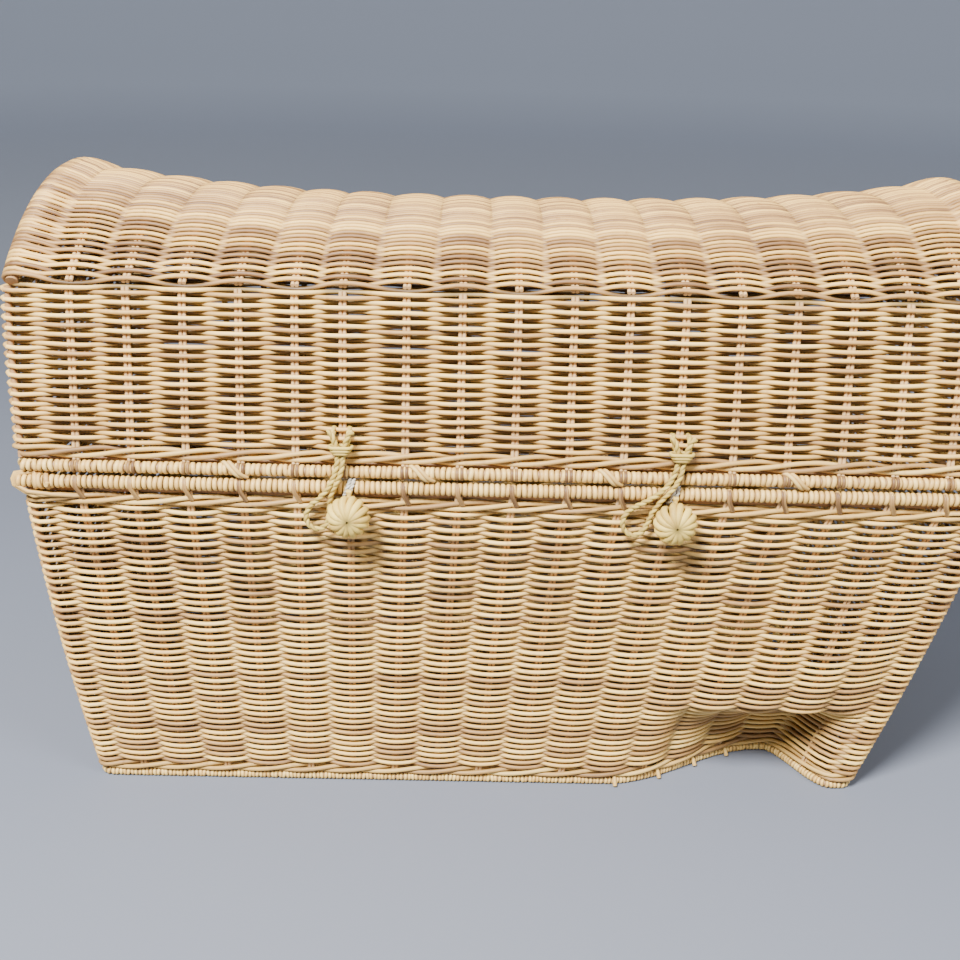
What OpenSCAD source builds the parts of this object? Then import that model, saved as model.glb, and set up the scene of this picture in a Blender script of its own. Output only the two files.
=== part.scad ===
// Humpback storage trunk of woven round cane: a flared body, a lid that swings on
// cane lashings along the back, and two corded closures on the front.
// Millimetres. +X is the right of the front, +Y the back, +Z up.
// The origin is the middle of the woven floor's underside.

/* [Body] */
// Length between the middles of the end rim rods
rim_len = 760; // [700:5:820]
// Depth between the middles of the front and back rim rods
rim_depth = 388; // [350:2:430]
// Length of the base
base_len = 668; // [620:4:700]
// Depth of the base
base_depth = 296; // [270:2:330]
// Height of the body rim rod's middle
body_h = 300; // [280:5:330]
// Sideways lean of the rim over the base
rack = 22; // [0:1:30]
// Radius of the upright corners
corner_r = 16; // [12:1:24]

/* [Weave] */
// Thickness of the woven walls
weave_t = 9; // [7:0.5:11]
// Thickness of the twined bands under and over the rims
waling_t = 12; // [10:0.5:13]
// Height of a twined band
waling_h = 9; // [7:1:11]
// Diameter of one stake rod, which always stands as one of a pair
stake_d = 3; // [2.4:0.2:3.6]
// Diameter of a corner stake
corner_stake_d = 5; // [4:0.5:6]
// Stake spaces along the front and the back
cells_long = 18; // [14:1:22]
// Stake spaces along each end
cells_short = 9; // [7:1:11]
// Thickness of the woven floor
floor_t = 7; // [5:1:9]

/* [Rims] */
// Diameter of the body rim over its binding
rim_d = 11; // [9:0.5:13]
// Diameter of the lid rim over its binding
lid_rim_d = 10; // [8:0.5:12]
// Diameter of the rods inside both rims
core_d = 7; // [5:0.5:8]
// Height of the lid rim's middle over the body rim's middle
rim_step = 13; // [12.5:0.5:15]
// Diameter of the foot rim
foot_d = 8; // [6:0.5:10]
// Diameter of the hoop on each end of the dome
hoop_d = 9; // [7:0.5:11]

/* [Lid] */
// Height of the lid's upright band, up to the shoulder
band_h = 135; // [110:5:160]
// How far the shoulder stands in from the rim, front and back
shoulder_in = 22; // [10:1:30]
// Rise of the dome over the shoulder at the ends
dome_rise = 62; // [45:1:80]
// How much lower the middle of the dome is
dome_sag = 24; // [0:1:30]

/* [Dent] */
// Depth of the dent in the foot rim
dent_depth = 60; // [0:5:70]
// Where the dent begins along the base
dent_from = 112; // [90:5:150]
// Where the dent is deepest
dent_peak = 268; // [220:4:272]
// Height of the fold over the dent
crease_h = 92; // [70:5:110]
// How far the wall swells over the fold
swell = 12; // [0:1:16]

/* [Closures] */
// Middle of the left closure, from the rim's middle
left_x = -133; // [-136:1:-130]
// Middle of the right closure, from the rim's middle
right_x = 127; // [125:1:129]
// Middle of the left knot button, from its closure
left_button_dx = 6; // [5:0.5:8]
// Middle of the right knot button, from its closure
right_button_dx = -2; // [-3:0.5:0]
// Diameter of the loop's cord
cord_d = 4; // [3.5:0.25:4.5]
// Width of a knot button
button_w = 34; // [28:1:36]
// Front to back thickness of a knot button
button_t = 26; // [20:1:26]

/* [Hinge] */
// Width of a hinge lashing
lash_w = 14; // [8:1:18]
// Clearance of a lashing round the body's back rim
lash_gap = 0.35; // [0.3:0.05:0.6]

/* [Hidden] */

$fn = 48;
cane = [0.86, 0.72, 0.52];
pale_cane = [0.89, 0.77, 0.56];
brown_cane = [0.76, 0.60, 0.43];

lid_z = body_h + rim_step;
shoulder_z = lid_z + band_h;
lid_half_l = rim_len / 2;
rim_half_d = rim_depth / 2;
shoulder_half = rim_half_d - shoulder_in;
dome_z = shoulder_z + 3;
wall_z0 = foot_d + 0.2 + waling_h;
wall_z1 = body_h - 10 - waling_h;
lid_wall_z0 = lid_z + lid_rim_d / 2 + 3 + waling_h;
lid_wall_z1 = shoulder_z - 2;
dent_to = base_len / 2 - corner_r;
button_z = 282;
button_y = -211.5;
tie_y = -204;

// Loop routes: x from the closure's middle, then y and z
LEFT_ROUTE = [
    [-6, -187, 346.5], [-6, -194.5, 346.5], [-6, -200, 344], [-5, -202.5, 339],
    [-2.3, -203, 331], [-3, -204, 322], [-6, -204.5, 311], [-10.5, -204.5, 302],
    [-17, -203.5, 294], [-24, -201, 287], [-28, -200.4, 279], [-26.5, -200.4, 271],
    [-20, -200.4, 267], [-13, -200.4, 270], [-10, -200.4, 278], [-9.5, -200.8, 288],
    [-7.5, -203, 298], [-3, -204.5, 308], [0.5, -204.5, 318], [2.3, -203, 331],
    [5, -202.5, 339], [6, -200, 344], [6, -194.5, 346.5], [6, -187, 346.5]
];
RIGHT_ROUTE = [
    [-6, -187, 346.5], [-6, -194.5, 346.5], [-6, -200, 344], [-5, -202.5, 339],
    [-2.3, -203, 331], [-4, -204, 322], [-9, -204.5, 311], [-18, -204.5, 302],
    [-28, -203.5, 295], [-36, -201, 289], [-41, -200.4, 281], [-40, -200.4, 272],
    [-33, -200.4, 267], [-26, -200.4, 270], [-21.5, -200.4, 278], [-18, -200.8, 288],
    [-12.5, -203, 298], [-5, -204.5, 308], [0, -204.5, 318], [2.3, -203, 331],
    [5, -202.5, 339], [6, -200, 344], [6, -194.5, 346.5], [6, -187, 346.5]
];

function lerp(a, b, t) = a + (b - a) * t;
function clamp01(t) = min(1, max(0, t));
function ease(t) = (1 - cos(180 * clamp01(t))) / 2;

// Body: half length, half depth and middle at a height
function half_l(z) = lerp(base_len / 2, rim_len / 2, z / body_h);
function half_d(z) = lerp(base_depth / 2, rim_half_d, z / body_h);
function mid_x(z) = rack * z / body_h;

// Dent: s is the place along the base, z the height; positive is inward
function dent_across(s) =
    s < dent_peak ? ease((s - dent_from) / (dent_peak - dent_from))
                  : ease((dent_to - s) / (dent_to - dent_peak));
function dent_push(z) = z < crease_h ? dent_depth * (1 - pow(z / crease_h, 4)) : 0;
function dent_swell(z) = z < 55 || z > 215 ? 0 : swell * pow(sin(180 * (z - 55) / 160), 2);
function dent(s, z) = dent_across(s) * (dent_push(z) - dent_swell(z));

// One corner point of the body's plan: corner 0 is front right, then anticlockwise
function corner_pt(k, a, z, o) =
    let (sx = k == 0 || k == 1 ? 1 : -1)
    let (sy = k == 1 || k == 2 ? 1 : -1)
    [
        mid_x(z) + sx * (half_l(z) - corner_r) + (corner_r + o) * cos(a),
        sy * (half_d(z) - corner_r) + (corner_r + o) * sin(a),
        z
    ];
// One point of the body's front, s from -1 to 1 between the corners
function front_pt(s, z, o) =
    let (w = half_l(z) - corner_r)
    [
        mid_x(z) + s * w,
        -half_d(z) - o + dent(s * (base_len / 2 - corner_r), z),
        z
    ];
// One point of the lid band's plan
function lid_half_d(z) = rim_half_d - shoulder_in * clamp01((z - lid_z) / band_h);
function lid_corner_pt(k, a, z, o) =
    let (sx = k == 0 || k == 1 ? 1 : -1)
    let (sy = k == 1 || k == 2 ? 1 : -1)
    [
        rack + sx * (lid_half_l - corner_r) + (corner_r + o) * cos(a),
        sy * (lid_half_d(z) - corner_r) + (corner_r + o) * sin(a),
        z
    ];

// Dome: rise at a place along the lid, then the arc's radius and middle
function rise_at(x) = dome_rise - dome_sag * (1 - pow(abs(x) / lid_half_l, 2.8));
function arc_r(h) = (shoulder_half * shoulder_half + h * h) / (2 * h);
function arc_half_angle(h) = asin(shoulder_half / arc_r(h));
function arc_z(h) = dome_z + h - arc_r(h);
function arc_pt(x, a, o) =
    let (h = rise_at(x))
    [rack + x, (arc_r(h) + o) * sin(a), arc_z(h) + (arc_r(h) + o) * cos(a)];

// A solid swept through a list of sections; each section runs anticlockwise
// as seen from further along the sweep, and has an even number of points
module sweep(secs, closed = false) {
    n = len(secs);
    m = len(secs[0]);
    last = closed ? n - 1 : n - 2;
    sides = [
        for (i = [0 : last], j = [0 : m - 1])
            let (k = (j + 1) % m, i2 = (i + 1) % n)
            [i2 * m + j, i2 * m + k, i * m + k, i * m + j]
    ];
    e = (n - 1) * m;
    first_cap = [for (j = [0 : m / 2 - 2]) [j, j + 1, m - 2 - j, m - 1 - j]];
    end_cap = [for (j = [0 : m / 2 - 2]) [e + m - 1 - j, e + m - 2 - j, e + j + 1, e + j]];
    polyhedron(
        points = [for (s = secs) each s],
        faces = closed ? sides : concat(sides, first_cap, end_cap),
        convexity = 8
    );
}

function unit(v) = v / norm(v);

// Sections of a round cord along a route
function cord_sections(route, d, sides) =
    let (n = len(route))
    [
        for (i = [0 : n - 1])
            let (t = unit(route[min(i + 1, n - 1)] - route[max(i - 1, 0)]))
            let (e = unit(cross(t, [0, 1, 0.02])))
            let (f = cross(t, e))
            [
                for (j = [0 : sides - 1])
                    route[i] + d / 2 * (e * cos(360 * j / sides) + f * sin(360 * j / sides))
            ]
    ];

// A straight rod and a straight tube between two points
module rod(p, q, d) {
    v = q - p;
    h = norm(v);
    translate(p)
        rotate([0, acos(v.z / h), atan2(v.y, v.x)])
            cylinder(h = h, d = d, $fn = 24);
}
module tube(p, q, od, id) {
    v = q - p;
    h = norm(v);
    translate(p)
        rotate([0, acos(v.z / h), atan2(v.y, v.x)])
            difference() {
                cylinder(h = h, d = od);
                translate([0, 0, -1])
                    cylinder(h = h + 2, d = id);
            }
}
// A stake: two rods side by side, spread along x or along y
module stake(p, q, along_x = true) {
    w = stake_d / 2 + 0.05;
    side = along_x ? [w, 0, 0] : [0, w, 0];
    rod(p - side, q - side, stake_d);
    rod(p + side, q + side, stake_d);
}

// Plan loop of the body at one height, anticlockwise from the front's left
front_steps = [
    for (i = [0 : 3]) lerp(-1, 0.34, i / 3),
    for (i = [1 : 20]) lerp(0.34, 1, i / 20)
];
function body_loop(z, o) = concat(
    [for (s = front_steps) front_pt(s, z, o)],
    [for (k = [0 : 2], i = [k == 0 ? 1 : 0 : 4]) corner_pt(k, -90 + 90 * k + 22.5 * i, z, o)],
    [for (i = [0 : 3]) corner_pt(3, 180 + 22.5 * i, z, o)]
);
function lid_loop(z, o) = [
    for (k = [0 : 3], i = [0 : 4]) lid_corner_pt(k, -90 + 90 * k + 22.5 * i, z, o)
];
// A band round the body or the lid between two heights
module band(out0, out1, in1, in0) {
    sweep([for (i = [0 : len(out0) - 1]) [out0[i], in0[i], in1[i], out1[i]]], closed = true);
}

// ---------------------------------------------------------------- body

// Woven floor inside the foot rim; its underside is what the trunk stands on
module floor_weave() {
    pts = [for (p = body_loop(0, -foot_d / 2 - 0.2)) [p.x, p.y]];
    color(cane)
        linear_extrude(height = floor_t)
            polygon(pts);
}

// Bound rod round the foot, pushed in with the dent
module foot_rim() {
    z = foot_d / 2;
    loops = [
        for (j = [0 : 9])
            let (a = 360 * j / 10)
            [for (p = body_loop(0, z * cos(a))) [p.x, p.y, z - z * sin(a)]]
    ];
    secs = [for (i = [0 : len(loops[0]) - 1]) [for (j = [0 : 9]) loops[j][i]]];
    color(pale_cane)
        sweep(secs, closed = true);
}

// Twined band over the foot rim
module foot_waling() {
    z0 = foot_d + 0.2;
    z1 = wall_z0 - 0.05;
    h = waling_t / 2;
    color(cane)
        band(body_loop(z0, h), body_loop(z1, h), body_loop(z1, -h), body_loop(z0, -h));
}

// Woven front, with the dent at its lower right
module body_front_weave() {
    h = weave_t / 2;
    zs = concat(
        [for (i = [0 : 13]) lerp(wall_z0, 120, i / 13)],
        [for (i = [1 : 5]) lerp(120, 220, i / 5)],
        [wall_z1]
    );
    n = len(zs);
    secs = [
        for (s = front_steps)
            concat(
                [for (i = [0 : n - 1]) front_pt(s, zs[i], -h)],
                [for (i = [n - 1 : -1 : 0]) front_pt(s, zs[i], h)]
            )
    ];
    color(cane)
        sweep(secs);
}

// A flat or U-shaped wall whose plan is given corner by corner
module body_wall(stops) {
    h = weave_t / 2;
    secs = [
        for (s = stops)
            [
                corner_pt(s[0], s[1], wall_z0, h),
                corner_pt(s[0], s[1], wall_z0, -h),
                corner_pt(s[0], s[1], wall_z1, -h),
                corner_pt(s[0], s[1], wall_z1, h)
            ]
    ];
    color(cane)
        sweep(secs);
}
module body_back_weave() {
    body_wall([[1, 90], [2, 90]]);
}
module body_right_weave() {
    body_wall([for (k = [0, 1], i = [0 : 5]) [k, -90 + 90 * k + 18 * i]]);
}
module body_left_weave() {
    body_wall([for (k = [2, 3], i = [0 : 5]) [k, -90 + 90 * k + 18 * i]]);
}

// Twined band under the rim
module body_waling() {
    z0 = wall_z1 + 0.05;
    z1 = wall_z1 + waling_h;
    h = waling_t / 2;
    color(cane)
        band(body_loop(z0, h), body_loop(z1, h), body_loop(z1, -h), body_loop(z0, -h));
}

// Stakes stand from the foot rim to the underside of the rim
stake_z0 = foot_d + 0.1;
stake_z1 = body_h - rim_d / 2 - 0.1;
function long_s(k) = -1 + 2 * k / cells_long;
function short_s(k) = -1 + 2 * k / cells_short;
bent_from = 13;
module body_front_stakes() {
    color(pale_cane)
        for (k = [1 : bent_from - 1])
            stake(
                [mid_x(stake_z0) + long_s(k) * half_l(stake_z0), -half_d(stake_z0), stake_z0],
                [mid_x(stake_z1) + long_s(k) * half_l(stake_z1), -half_d(stake_z1), stake_z1]
            );
}
// Front stakes that the dent has bent
module body_bent_stakes() {
    heights = [
        for (i = [0 : 14]) lerp(stake_z0, 125, i / 14),
        for (i = [1 : 3]) lerp(125, 215, i / 3),
        stake_z1
    ];
    w = stake_d / 2 + 0.05;
    color(pale_cane)
        for (k = [bent_from : cells_long - 1], side = [-w, w])
            sweep([
                for (z = heights)
                    let (s = long_s(k) * half_l(z) / (half_l(z) - corner_r))
                    let (p = front_pt(s, z, 0))
                    [
                        for (j = [0 : 5])
                            [
                                p.x + side - stake_d / 2 * sin(60 * j),
                                p.y + stake_d / 2 * cos(60 * j),
                                z
                            ]
                    ]
            ]);
}
module body_back_stakes() {
    color(pale_cane)
        for (k = [1 : cells_long - 1])
            stake(
                [mid_x(stake_z0) + long_s(k) * half_l(stake_z0), half_d(stake_z0), stake_z0],
                [mid_x(stake_z1) + long_s(k) * half_l(stake_z1), half_d(stake_z1), stake_z1]
            );
}
module body_end_stakes(sx) {
    color(pale_cane)
        for (k = [1 : cells_short - 1])
            stake(
                [mid_x(stake_z0) + sx * half_l(stake_z0), short_s(k) * half_d(stake_z0), stake_z0],
                [mid_x(stake_z1) + sx * half_l(stake_z1), short_s(k) * half_d(stake_z1), stake_z1],
                along_x = false
            );
}
module body_left_stakes() {
    body_end_stakes(-1);
}
module body_right_stakes() {
    body_end_stakes(1);
}
module body_corner_stakes() {
    color(brown_cane)
        for (k = [0 : 3])
            rod(
                corner_pt(k, -45 + 90 * k, stake_z0, 0),
                corner_pt(k, -45 + 90 * k, stake_z1, 0),
                corner_stake_d
            );
}

// Rim rods: front and back run the whole length, the ends butt between them
module rim_rods(z, d, od) {
    x0 = rack - lid_half_l;
    x1 = rack + lid_half_l;
    y = rim_half_d - od / 2 - 0.1;
    for (s = [-1, 1])
        rod([x0 - od / 2, s * rim_half_d, z], [x1 + od / 2, s * rim_half_d, z], d);
    for (x = [x0, x1])
        rod([x, -y, z], [x, y, z], d);
}
// Round cane wound close round the rods
module rim_binding(z, od) {
    x0 = rack - lid_half_l;
    x1 = rack + lid_half_l;
    y = rim_half_d - od / 2 - 0.1;
    for (s = [-1, 1])
        tube([x0 - od / 2, s * rim_half_d, z], [x1 + od / 2, s * rim_half_d, z], od, core_d);
    for (x = [x0, x1])
        tube([x, -y, z], [x, y, z], od, core_d);
}
module body_rim_rods() {
    color(brown_cane)
        rim_rods(body_h, core_d, rim_d);
}
module body_rim_binding() {
    color(pale_cane)
        rim_binding(body_h, rim_d);
}
// Extra turns of cane that tie each corner of the rim
module body_rim_lashings() {
    color(pale_cane)
        for (sx = [-1, 1], sy = [-1, 1]) {
            x = rack + sx * (lid_half_l - 14);
            tube(
                [x - 4.5, sy * rim_half_d, body_h],
                [x + 4.5, sy * rim_half_d, body_h],
                rim_d + 3, rim_d
            );
        }
}

// Turns of thin cord that hold a knot button's neck to the rim; under the rim they
// part round the tops of the stakes
module button_tie(x) {
    color(pale_cane)
        difference() {
            tube([x - 3, -rim_half_d, body_h], [x + 3, -rim_half_d, body_h], rim_d + 2.8, rim_d);
            translate([x - 4, -rim_half_d - 3, body_h - rim_d])
                cube([8, 6.5, 7]);
        }
}
module left_button_tie() {
    button_tie(rack + left_x + left_button_dx);
}
module right_button_tie() {
    button_tie(rack + right_x + right_button_dx);
}

// ---------------------------------------------------------------- lid

module lid_rim_rods() {
    color(brown_cane)
        rim_rods(lid_z, core_d, lid_rim_d);
}
module lid_rim_binding() {
    color(pale_cane)
        rim_binding(lid_z, lid_rim_d);
}
// Twined band over the lid rim
module lid_waling() {
    z1 = lid_wall_z0 - 0.05;
    z0 = z1 - waling_h;
    h = waling_t / 2;
    color(cane)
        band(lid_loop(z0, h), lid_loop(z1, h), lid_loop(z1, -h), lid_loop(z0, -h));
}
// One side of the lid's upright band
module lid_wall(stops) {
    h = weave_t / 2;
    secs = [
        for (s = stops)
            [
                lid_corner_pt(s[0], s[1], lid_wall_z0, h),
                lid_corner_pt(s[0], s[1], lid_wall_z0, -h),
                lid_corner_pt(s[0], s[1], lid_wall_z1, -h),
                lid_corner_pt(s[0], s[1], lid_wall_z1, h)
            ]
    ];
    color(cane)
        sweep(secs);
}
module lid_front_weave() {
    lid_wall([[3, 270], [0, -90]]);
}
module lid_back_weave() {
    lid_wall([[1, 90], [2, 90]]);
}
module lid_right_weave() {
    lid_wall([for (k = [0, 1], i = [0 : 5]) [k, -90 + 90 * k + 18 * i]]);
}
module lid_left_weave() {
    lid_wall([for (k = [2, 3], i = [0 : 5]) [k, -90 + 90 * k + 18 * i]]);
}

// Lid stakes stand from the rim to the shoulder; one is pushed over by its closure
lid_stake_z0 = lid_z + lid_rim_d / 2 + 0.1;
lid_stake_z1 = shoulder_z + 1;
function wander(k) = k == 6 ? -6 : 0;
function lid_stake_x(k) = long_s(k) * lid_half_l + wander(k);
module lid_long_stakes(sy) {
    color(pale_cane)
        for (k = [1 : cells_long - 1])
            stake(
                [rack + lid_stake_x(k), sy * lid_half_d(lid_stake_z0), lid_stake_z0],
                [rack + lid_stake_x(k), sy * lid_half_d(lid_stake_z1), lid_stake_z1]
            );
}
module lid_front_stakes() {
    lid_long_stakes(-1);
}
module lid_back_stakes() {
    lid_long_stakes(1);
}
// End stakes carry on up the gable to the hoop
module lid_end_stakes(sx) {
    r = arc_r(dome_rise);
    color(pale_cane)
        for (k = [1 : cells_short - 1])
            let (y = short_s(k) * shoulder_half)
            let (y0 = short_s(k) * rim_half_d)
            let (top = arc_z(dome_rise) + sqrt(r * r - y * y) - hoop_d / 2 - 1.5)
            stake(
                [rack + sx * lid_half_l, y0, lid_stake_z0],
                [rack + sx * lid_half_l, lerp(y0, y, (top - lid_z) / band_h), top],
                along_x = false
            );
}
module lid_left_stakes() {
    lid_end_stakes(-1);
}
module lid_right_stakes() {
    lid_end_stakes(1);
}
module lid_corner_stakes() {
    color(brown_cane)
        for (k = [0 : 3])
            rod(
                lid_corner_pt(k, -45 + 90 * k, lid_stake_z0, 0),
                lid_corner_pt(k, -45 + 90 * k, lid_wall_z1, 0),
                corner_stake_d
            );
}

// Woven dome from shoulder to shoulder, sagging in the middle
module lid_dome_weave() {
    h = weave_t / 2;
    e = lid_half_l - hoop_d / 2 - 0.5;
    steps = 24;
    secs = [
        for (i = [0 : steps])
            let (x = -e * cos(180 * i / steps))
            let (a = arc_half_angle(rise_at(x)))
            concat(
                [for (j = [0 : 14]) arc_pt(x, lerp(a, -a, j / 14), h)],
                [for (j = [0 : 14]) arc_pt(x, lerp(-a, a, j / 14), -h)]
            )
    ];
    color(cane)
        sweep(secs);
}
// A bent rod along the dome's arc
module arc_rod(x, rise, d, trim = 0) {
    r = arc_r(rise);
    a = arc_half_angle(rise) - trim;
    translate([rack + x, 0, arc_z(rise)])
        rotate([0, 90, 0])
            rotate([0, 0, 180 - a])
                rotate_extrude(angle = 2 * a)
                    translate([r, 0])
                        circle(d = d, $fn = 24);
}
// Rib pairs that carry the stakes' line over the dome
module lid_dome_ribs() {
    w = stake_d / 2 + 0.05;
    color(pale_cane)
        for (k = [1 : cells_long - 1], side = [-w, w])
            arc_rod(lid_stake_x(k) + side, rise_at(lid_stake_x(k)), stake_d, 0.4);
}
// Hoop along each end of the dome
module lid_hoops() {
    color(brown_cane)
        for (sx = [-1, 1])
            arc_rod(sx * lid_half_l, dome_rise, hoop_d);
}
// Woven gable under each hoop
module gable(sx) {
    r = arc_r(dome_rise) - hoop_d / 2 - 0.3;
    z0 = lid_wall_z1 + 0.1;
    dz = z0 - arc_z(dome_rise);
    a = acos(dz / r);
    pts = [for (j = [0 : 24]) let (b = lerp(-a, a, j / 24)) [r * sin(b), arc_z(dome_rise) + r * cos(b)]];
    color(cane)
        translate([rack + sx * lid_half_l - weave_t / 2, 0, 0])
            rotate([90, 0, 90])
                linear_extrude(height = weave_t)
                    polygon(pts);
}
module lid_left_gable() {
    gable(-1);
}
module lid_right_gable() {
    gable(1);
}

// Turns of cane round both back rims; they turn on the body's rim with the lid
module hinge_lashings() {
    ri = rim_d / 2 + lash_gap;
    ro = ri + 1.8;
    top = lid_z - (ri - lid_rim_d / 2) + 0.02;
    color(pale_cane)
        for (k = [2.5, 8.5, 14.5])
            translate([rack + long_s(k) * lid_half_l - lash_w / 2, rim_half_d, 0])
                rotate([90, 0, 90])
                    linear_extrude(height = lash_w)
                        difference() {
                            union() {
                                translate([0, body_h])
                                    circle(r = ro);
                                translate([0, top])
                                    circle(r = ro);
                                translate([-ro, body_h])
                                    square([2 * ro, top - body_h]);
                            }
                            translate([0, body_h])
                                circle(r = ri);
                            translate([0, top])
                                circle(r = ri);
                            translate([-ri, body_h])
                                square([2 * ri, top - body_h]);
                        }
}

// ---------------------------------------------------------------- closures

// Collar of wound cord that holds the loop's two legs
module loop_collar(x) {
    color(pale_cane)
        translate([x, -203, 331])
            union() {
                translate([-5, 0, 0])
                    cylinder(h = 6.5, r = 4.4);
                translate([5, 0, 0])
                    cylinder(h = 6.5, r = 4.4);
                translate([-5, -4.4, 0])
                    cube([10, 8.8, 6.5]);
            }
}
module left_loop_collar() {
    loop_collar(rack + left_x);
}
module right_loop_collar() {
    loop_collar(rack + right_x);
}
module left_loop() {
    color(pale_cane)
        translate([rack + left_x, 0, 0])
            sweep(cord_sections(LEFT_ROUTE, cord_d, 8));
}
module right_loop() {
    color(pale_cane)
        translate([rack + right_x, 0, 0])
            sweep(cord_sections(RIGHT_ROUTE, cord_d, 8));
}

// Knot button: cord wound into a flat ball
module button(x) {
    color(pale_cane)
        translate([x, button_y, button_z])
            rotate([90, 0, 0])
                rotate_extrude()
                    polygon(concat(
                        [[0, -button_t / 2]],
                        [
                            for (i = [1 : 11])
                                let (a = -90 + 15 * i)
                                [button_w / 2 * pow(cos(a), 0.8), button_t / 2 * sin(a)]
                        ],
                        [[0, button_t / 2]]
                    ));
}
// Neck cord; its upper end turns on the tie as a small round eye
module button_neck(x) {
    color(pale_cane)
        union() {
            rod([x, tie_y - 0.2, button_z + 8], [x, tie_y - 0.2, body_h], 3.6);
            rod([x - 2, tie_y - 0.2, body_h], [x + 2, tie_y - 0.2, body_h], 3.6);
        }
}
module left_button() {
    button(rack + left_x + left_button_dx);
}
module right_button() {
    button(rack + right_x + right_button_dx);
}
module left_button_neck() {
    button_neck(rack + left_x + left_button_dx);
}
module right_button_neck() {
    button_neck(rack + right_x + right_button_dx);
}

floor_weave();
foot_rim();
foot_waling();
body_front_weave();
body_back_weave();
body_left_weave();
body_right_weave();
body_waling();
body_front_stakes();
body_bent_stakes();
body_back_stakes();
body_left_stakes();
body_right_stakes();
body_corner_stakes();
body_rim_rods();
body_rim_binding();
body_rim_lashings();
left_button_tie();
right_button_tie();
lid_rim_rods();
lid_rim_binding();
lid_waling();
lid_front_weave();
lid_back_weave();
lid_left_weave();
lid_right_weave();
lid_front_stakes();
lid_back_stakes();
lid_left_stakes();
lid_right_stakes();
lid_corner_stakes();
lid_dome_weave();
lid_dome_ribs();
lid_left_gable();
lid_right_gable();
lid_hoops();
hinge_lashings();
left_loop_collar();
right_loop_collar();
left_loop();
right_loop();
left_button();
left_button_neck();
right_button();
right_button_neck();
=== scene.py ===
"""A humpback storage trunk of woven round cane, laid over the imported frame."""
import math
import random

import bpy
import numpy as np
from mathutils import Matrix


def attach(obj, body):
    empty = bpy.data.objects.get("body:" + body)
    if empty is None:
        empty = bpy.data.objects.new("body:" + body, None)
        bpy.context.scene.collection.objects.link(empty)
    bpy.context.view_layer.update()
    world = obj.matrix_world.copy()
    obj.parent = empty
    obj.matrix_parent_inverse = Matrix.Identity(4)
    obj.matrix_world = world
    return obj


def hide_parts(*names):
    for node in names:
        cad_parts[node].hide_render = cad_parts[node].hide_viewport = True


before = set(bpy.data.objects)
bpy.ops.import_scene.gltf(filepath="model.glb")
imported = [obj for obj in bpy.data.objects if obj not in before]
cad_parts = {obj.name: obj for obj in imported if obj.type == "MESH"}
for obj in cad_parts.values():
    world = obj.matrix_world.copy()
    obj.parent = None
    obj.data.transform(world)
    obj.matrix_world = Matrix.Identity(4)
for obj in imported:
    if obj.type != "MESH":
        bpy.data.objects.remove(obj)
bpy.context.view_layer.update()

# ---------------- the room
# A grey-blue floor that sweeps up into a wide round cove, under studio light: one
# broad lamp in front on the left, a weaker one on the right, and one overhead.


def stand(name, mesh):
    """Puts a mesh in the scene as an object of its own."""
    made = bpy.data.objects.new(name, mesh)
    bpy.context.scene.collection.objects.link(made)
    return made


def node_maker(tree):
    """A short way to put nodes in a tree: links or values by socket, then settings."""

    def put(kind, links=(), **settings):
        node = tree.nodes.new(kind)
        for label, value in settings.items():
            setattr(node, label, value)
        for where, value in links:
            socket = node.inputs[where]
            if isinstance(value, bpy.types.NodeSocket):
                tree.links.new(value, socket)
            else:
                socket.default_value = value
        return node

    return put


COVE = [(0.01, 0.0), (6.0, 0.0), (7.5, 0.25), (8.7, 1.1), (9.5, 2.4), (9.9, 4.2), (10.0, 7.0)]
COVE_SIDES = 96
floor_mesh = bpy.data.meshes.new("studio_floor")
floor_mesh.from_pydata(
    [(r * math.cos(a), r * math.sin(a), z)
     for r, z in COVE for a in np.arange(COVE_SIDES) * math.tau / COVE_SIDES],
    [],
    [(i * COVE_SIDES + j, (i + 1) * COVE_SIDES + j,
      (i + 1) * COVE_SIDES + (j + 1) % COVE_SIDES, i * COVE_SIDES + (j + 1) % COVE_SIDES)
     for i in range(len(COVE) - 1) for j in range(COVE_SIDES)] + [tuple(range(COVE_SIDES))],
)
floor_mesh.shade_smooth()
stand("studio_floor", floor_mesh)
floor_paint = bpy.data.materials.new("studio floor paint")
floor_paint.use_nodes = True
put = node_maker(floor_paint.node_tree)
mottle = put("ShaderNodeTexNoise", [("Scale", 3.0)])
tint = put("ShaderNodeValToRGB", [("Fac", mottle.outputs[0])])
tint.color_ramp.elements[0].color = (0.14, 0.155, 0.19, 1)
tint.color_ramp.elements[1].color = (0.165, 0.18, 0.22, 1)
# the cove is painted paler than the floor under the trunk: painted light that brightens the far
# backdrop
reach = put("ShaderNodeVectorMath", [(0, put("ShaderNodeTexCoord").outputs["Object"])],
            operation="LENGTH")
fade = put("ShaderNodeMapRange", [("Value", reach.outputs["Value"]), ("From Min", 1.5),
                                  ("From Max", 7.0)])
backdrop = put("ShaderNodeMix", [(0, fade.outputs[0]), (6, tint.outputs["Color"]),
                                 (7, (0.70, 0.76, 0.88, 1))], data_type="RGBA")
coat = floor_paint.node_tree.nodes["Principled BSDF"]
coat.inputs["Roughness"].default_value = 0.85
floor_paint.node_tree.links.new(backdrop.outputs[2], coat.inputs["Base Color"])
floor_mesh.materials.append(floor_paint)


def hang_lamp(name, place, size, watts, aim=(0, 0, 0.25)):
    """A round lamp that faces the trunk's middle."""
    lamp = bpy.data.lights.new(name, "AREA")
    lamp.shape = "DISK"
    lamp.size = size
    lamp.energy = watts
    way = np.array(place, float) - np.array(aim, float)
    flat = math.hypot(way[0], way[1])
    stand(name, lamp).matrix_world = (
        Matrix.Translation(place)
        @ Matrix.Rotation(math.atan2(way[1], way[0]) + math.pi / 2, 4, "Z")
        @ Matrix.Rotation(math.atan2(flat, way[2]), 4, "X")
    )


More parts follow.
